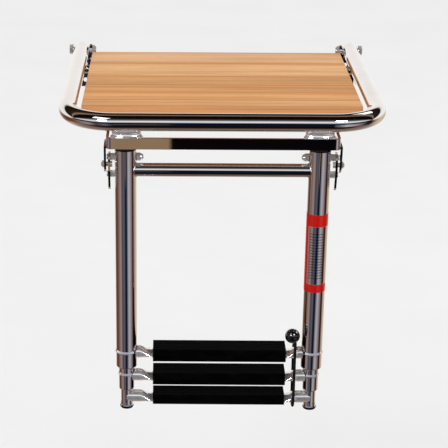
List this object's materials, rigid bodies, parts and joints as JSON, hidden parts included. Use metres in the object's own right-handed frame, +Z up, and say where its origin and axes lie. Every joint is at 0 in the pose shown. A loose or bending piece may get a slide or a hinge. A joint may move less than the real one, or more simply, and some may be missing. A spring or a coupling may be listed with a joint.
{
  "type": "boat boarding ladder",
  "caption": "Fold-up boarding platform: bent stainless frame with a teak deck on transom brackets, and a telescoping ladder with plastic treads that folds under it.",
  "frame": {"origin": "centre of the four transom bolt holes, on the plane of the transom", "axes": "+Z up, +Y towards the boat through the transom, +X to the right seen from the water, along the platform hinge"},
  "size_m": [0.592, 0.5574, 0.5664],
  "materials": {
    "polished_steel": "mirror-polished stainless steel",
    "fastener_steel": "bright stainless fasteners",
    "teak": "oiled teak, edge-glued staves",
    "tread_plastic": "moulded black plastic with grip grooves",
    "black_plastic": "moulded black plastic",
    "bush_plastic": "natural acetal",
    "ball_plastic": "glossy black plastic",
    "bungee_rubber": "braided elastic cord",
    "label_film": "printed silver film with red bands"
  },
  "bodies": {
    "brackets": {"transom_bracket_left": "polished_steel", "transom_bracket_right": "polished_steel", "platform_hinge_bolts": "fastener_steel", "platform_hinge_nuts": "fastener_steel", "platform_hinge_washers": "fastener_steel"},
    "platform": {"platform_frame_tube": "polished_steel", "cross_bearer_rear": "polished_steel", "cross_bearer_front": "polished_steel", "teak_stave_1": "teak", "teak_stave_2": "teak", "teak_stave_3": "teak", "teak_stave_4": "teak", "teak_stave_5": "teak", "teak_stave_6": "teak", "teak_stave_7": "teak", "deck_screws": "fastener_steel", "hinge_strap": "polished_steel", "standoff_left": "polished_steel", "standoff_right": "polished_steel", "side_lug_left": "polished_steel", "side_lug_right": "polished_steel"},
    "ladder_upper": {"outer_tube_left": "polished_steel", "outer_tube_right": "polished_steel", "outer_tube_caps": "black_plastic", "crossbar": "polished_steel", "outer_collar_left": "polished_steel", "outer_collar_right": "polished_steel", "upper_rung": "polished_steel", "upper_tread": "tread_plastic", "hinge_plate_left": "polished_steel", "hinge_plate_right": "polished_steel", "pivot_bolts": "fastener_steel", "plate_acorn_nuts": "fastener_steel", "hinge_plate_spacers": "fastener_steel", "hinge_plate_bolts": "fastener_steel", "tube_label": "label_film", "bungee_cord": "bungee_rubber", "bungee_ball": "ball_plastic"},
    "ladder_middle": {"middle_tube_left": "polished_steel", "middle_tube_right": "polished_steel", "middle_collar_left": "polished_steel", "middle_collar_right": "polished_steel", "middle_guide_bushes": "bush_plastic", "middle_rung": "polished_steel", "middle_tread": "tread_plastic"},
    "ladder_lower": {"inner_tube_left": "polished_steel", "inner_tube_right": "polished_steel", "inner_guide_bushes": "bush_plastic", "foot_ferrules": "polished_steel", "foot_plugs": "black_plastic", "lower_rung": "polished_steel", "lower_tread": "tread_plastic"}
  },
  "joints": [
    {"name": "platform_fold", "type": "hinge", "parent": "brackets", "child": "platform", "pos_m": [0, -0.03, 0.053], "axis": [-1, 0, 0], "range_deg": [0, 90]},
    {"name": "ladder_fold", "type": "hinge", "parent": "platform", "child": "ladder_upper", "pos_m": [0, -0.528, -0.0265], "axis": [1, 0, 0], "range_deg": [0, 90]},
    {"name": "middle_slide", "type": "slide", "parent": "ladder_upper", "child": "ladder_middle", "axis": [0, 0, -1], "range_m": [0, 0.25], "deforming": ["bungee_cord"]},
    {"name": "lower_slide", "type": "slide", "parent": "ladder_middle", "child": "ladder_lower", "axis": [0, 0, -1], "range_m": [0, 0.25], "deforming": ["bungee_cord"]}
  ]
}
